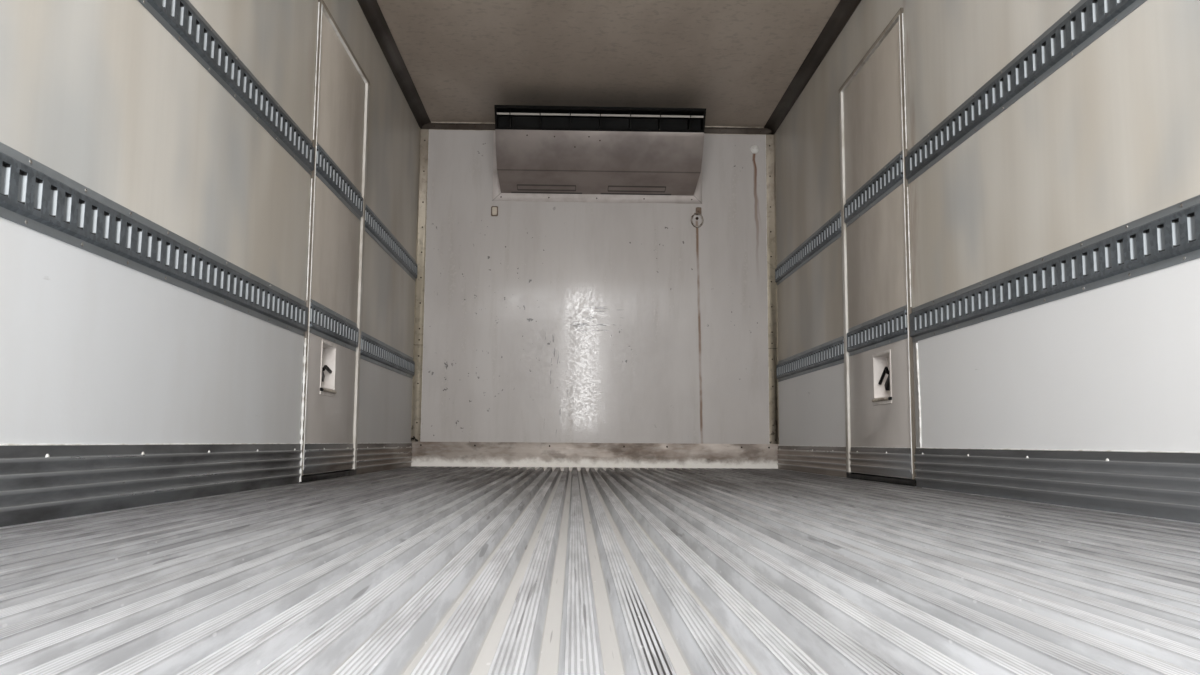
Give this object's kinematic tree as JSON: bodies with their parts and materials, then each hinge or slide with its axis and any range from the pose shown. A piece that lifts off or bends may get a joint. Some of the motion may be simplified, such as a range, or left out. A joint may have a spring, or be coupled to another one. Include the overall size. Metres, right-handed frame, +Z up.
{
  "type": "refrigerated truck body",
  "caption": "Insulated box body for a refrigerated truck with rear and side doors, slotted lashing rails, a ribbed floor and a nose-mounted cooling unit.",
  "frame": {"origin": "centre of the overall box at the underside of the long sills", "axes": "+X to the right looking forward, +Y from the rear doorway to the nose, +Z up"},
  "size_m": [2.72, 6.855, 2.6232],
  "materials": {
    "outer_skin": "gloss white panel skin, lightly weathered",
    "liner": "off-white liner panel with vertical grime",
    "ceiling_liner": "dirty grey-brown liner panel",
    "floor_aluminium": "worn, fine grooves along the ribs",
    "scuff_aluminium": "dull, scratched along its length",
    "trim_aluminium": "mill finish, screwed",
    "stainless": "satin, stained",
    "galvanised_rail": "dull galvanised",
    "frame_steel": "satin stainless",
    "underframe_paint": "black underbody paint",
    "doorway_trim": "white trim and sealant",
    "unit_shell": "moulded white shell",
    "black_plastic": "black moulding",
    "rubber": "black rubber",
    "lamp_red": "red lens"
  },
  "bodies": {
    "box": {"underframe": "underframe_paint", "floor_slab": "outer_skin", "ribbed_floor": "floor_aluminium", "left_wall": "liner", "right_wall": "liner", "roof_panel": "ceiling_liner", "front_wall": "liner", "roof_rails": "trim_aluminium", "rear_frame": "frame_steel", "bulkhead_trim": "trim_aluminium", "kick_plate": "trim_aluminium", "evaporator_housing": "black_plastic", "evaporator_cover": "stainless", "evaporator_flange": "trim_aluminium", "condenser_housing": "unit_shell", "condenser_grille": "black_plastic", "corner_post_left": "trim_aluminium", "bottom_rail_left": "trim_aluminium", "ceiling_cove_left": "ceiling_liner", "scuff_plate_left_rear": "scuff_aluminium", "scuff_plate_left_front": "scuff_aluminium", "side_door_frame_left": "doorway_trim", "dock_bumper_left": "rubber", "tail_lamps_left": "lamp_red", "lashing_rail_left_lower_rear": "galvanised_rail", "lashing_rail_left_lower_front": "galvanised_rail", "lashing_rail_left_upper_rear": "galvanised_rail", "lashing_rail_left_upper_front": "galvanised_rail", "corner_post_right": "trim_aluminium", "bottom_rail_right": "trim_aluminium", "ceiling_cove_right": "ceiling_liner", "scuff_plate_right_rear": "scuff_aluminium", "scuff_plate_right_front": "scuff_aluminium", "side_door_frame_right": "doorway_trim", "dock_bumper_right": "rubber", "tail_lamps_right": "lamp_red", "lashing_rail_right_lower_rear": "galvanised_rail", "lashing_rail_right_lower_front": "galvanised_rail", "lashing_rail_right_upper_rear": "galvanised_rail", "lashing_rail_right_upper_front": "galvanised_rail"},
    "rear_door_left": {"rear_door_left": "outer_skin", "rear_gasket_left": "rubber", "rear_lock_bar_left": "stainless"},
    "rear_door_right": {"rear_door_right": "outer_skin", "rear_gasket_right": "rubber", "rear_lock_bar_right": "stainless"},
    "side_door_left": {"side_door_left": "liner", "side_door_rail_left_lower": "galvanised_rail", "side_door_rail_left_upper": "galvanised_rail", "side_door_scuff_left": "scuff_aluminium", "handle_recess_left": "doorway_trim", "side_lock_bar_left": "stainless"},
    "side_door_right": {"side_door_right": "liner", "side_door_rail_right_lower": "galvanised_rail", "side_door_rail_right_upper": "galvanised_rail", "side_door_scuff_right": "scuff_aluminium", "handle_recess_right": "doorway_trim", "side_lock_bar_right": "stainless"},
    "condenser_fan_left": {"condenser_fan_left": "black_plastic"},
    "condenser_fan_right": {"condenser_fan_right": "black_plastic"}
  },
  "joints": [
    {"name": "rear_door_left_hinge", "type": "hinge", "parent": "box", "child": "rear_door_left", "pos_m": [-1.27, -3.3605, 1.4], "axis": [0, 0, 1], "range_deg": [0, 270]},
    {"name": "rear_door_right_hinge", "type": "hinge", "parent": "box", "child": "rear_door_right", "pos_m": [1.27, -3.3605, 1.4], "axis": [0, 0, -1], "range_deg": [0, 270]},
    {"name": "side_door_left_hinge", "type": "hinge", "parent": "box", "child": "side_door_left", "pos_m": [-1.2335, 1.3125, 1.27], "axis": [0, 0, -1], "range_deg": [0, 175]},
    {"name": "side_door_right_hinge", "type": "hinge", "parent": "box", "child": "side_door_right", "pos_m": [1.2335, 1.3125, 1.27], "axis": [0, 0, 1], "range_deg": [0, 175]},
    {"name": "condenser_fan_left_spin", "type": "hinge", "parent": "box", "child": "condenser_fan_left", "pos_m": [-0.32, 3.3425, 2.0939], "axis": [0, 1, 0], "continuous": true},
    {"name": "condenser_fan_right_spin", "type": "hinge", "parent": "box", "child": "condenser_fan_right", "pos_m": [0.32, 3.3425, 2.0939], "axis": [0, 1, 0], "continuous": true}
  ]
}
